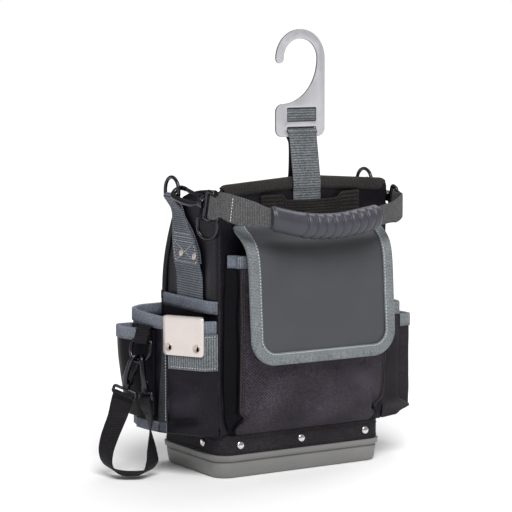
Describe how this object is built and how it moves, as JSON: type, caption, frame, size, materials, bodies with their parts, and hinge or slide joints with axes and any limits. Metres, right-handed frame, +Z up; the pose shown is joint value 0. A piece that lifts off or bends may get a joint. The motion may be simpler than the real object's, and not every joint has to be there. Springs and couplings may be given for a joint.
{
  "type": "tool pouch",
  "caption": "Open-top cloth tool pouch on a moulded tray, with a flapped front pocket, side pockets, a clip-on carry handle and a hanging hook on a strap.",
  "frame": {"origin": "centre of the tray's underside, on the floor", "axes": "+Z up, -Y out of the front where the flap is, +X to the right seen from the front"},
  "size_m": [0.3947, 0.2141, 0.5134],
  "materials": {
    "black_nylon": "woven ballistic nylon",
    "black_webbing": "ribbed black webbing",
    "grey_webbing": "ribbed grey webbing",
    "coated_cloth": "smooth coated cloth",
    "grey_plastic": "moulded, fine grain",
    "grip_rubber": "satin soft grip",
    "steel": "bead-blasted steel",
    "bright_plate": "brushed bright plate",
    "gunmetal": "dark plated metal"
  },
  "bodies": {
    "pouch": {"base_tray": "grey_plastic", "skirt": "black_nylon", "skirt_rivet_front_1": "steel", "skirt_rivet_front_2": "steel", "skirt_rivet_front_3": "steel", "skirt_rivet_left": "steel", "skirt_rivet_right": "steel", "centre_panel": "black_nylon", "centre_panel_binding": "black_webbing", "bay_wall": "black_nylon", "bay_binding": "black_webbing", "front_pocket": "black_nylon", "front_pocket_binding": "grey_webbing", "flap": "coated_cloth", "flap_binding": "grey_webbing", "panel_organiser": "black_webbing", "slot_pocket": "black_nylon", "slot_binding": "grey_webbing", "strap_left": "grey_webbing", "strap_left_rivet_1": "steel", "strap_left_rivet_2": "steel", "strap_right": "grey_webbing", "strap_right_rivet_1": "steel", "strap_right_rivet_2": "steel", "ring_left": "gunmetal", "ring_right": "gunmetal", "hang_tab": "black_webbing", "plate_pocket": "black_nylon", "plate_pocket_binding": "grey_webbing", "right_pocket": "black_nylon", "right_pocket_binding": "grey_webbing", "right_outer_pocket": "black_nylon", "right_outer_binding": "grey_webbing", "plate_pocket_band": "grey_webbing", "plate_pocket_edge": "grey_webbing", "clip_plate": "bright_plate", "clip_rivet_1": "bright_plate", "clip_rivet_2": "bright_plate", "outer_pocket": "black_nylon", "outer_pocket_binding": "grey_webbing", "tape_tab": "black_webbing", "tape_ring": "gunmetal", "handle_snap_left_hook": "gunmetal", "handle_snap_left_swivel": "gunmetal", "handle_snap_right_hook": "gunmetal", "handle_snap_right_swivel": "gunmetal", "handle_web": "grey_webbing", "handle_grip": "grip_rubber", "tape_snap_rear_hook": "gunmetal", "tape_snap_rear_swivel": "gunmetal", "tape_snap_front_hook": "gunmetal", "tape_snap_front_swivel": "gunmetal", "tape_strap": "black_webbing", "hook_plate": "steel", "hook_strap": "grey_webbing"},
    "handle_snap_left_gate": {"handle_snap_left_gate": "gunmetal"},
    "handle_snap_right_gate": {"handle_snap_right_gate": "gunmetal"},
    "tape_snap_rear_gate": {"tape_snap_rear_gate": "gunmetal"},
    "tape_snap_front_gate": {"tape_snap_front_gate": "gunmetal"},
    "hang_ring": {"hang_ring": "gunmetal"}
  },
  "joints": [
    {"name": "handle_snap_left_gate_hinge", "type": "hinge", "parent": "pouch", "child": "handle_snap_left_gate", "pos_m": [-0.12601, -0.04757, 0.32401], "axis": [-0.6501, -0.2367, 0.722], "range_deg": [0, 18], "stiffness_Nm_per_rad": 0.05},
    {"name": "handle_snap_right_gate_hinge", "type": "hinge", "parent": "pouch", "child": "handle_snap_right_gate", "pos_m": [0.12605, -0.0472, 0.32141], "axis": [-0.6404, 0.2896, -0.7113], "range_deg": [0, 18], "stiffness_Nm_per_rad": 0.05},
    {"name": "tape_snap_rear_gate_hinge", "type": "hinge", "parent": "pouch", "child": "tape_snap_rear_gate", "pos_m": [-0.18254, 0.01405, 0.1106], "axis": [-0.0089, -0.9586, -0.2847], "range_deg": [0, 18], "stiffness_Nm_per_rad": 0.05},
    {"name": "tape_snap_front_gate_hinge", "type": "hinge", "parent": "pouch", "child": "tape_snap_front_gate", "pos_m": [-0.17406, -0.00336, 0.10969], "axis": [0.7892, -0.6035, 0.1138], "range_deg": [0, 18], "stiffness_Nm_per_rad": 0.05},
    {"name": "hang_ring_hinge", "type": "hinge", "parent": "pouch", "child": "hang_ring", "pos_m": [-0.12252, -0.0575, 0.302], "axis": [-0.4067, 0.9135, 0], "range_deg": [0, 60]}
  ]
}
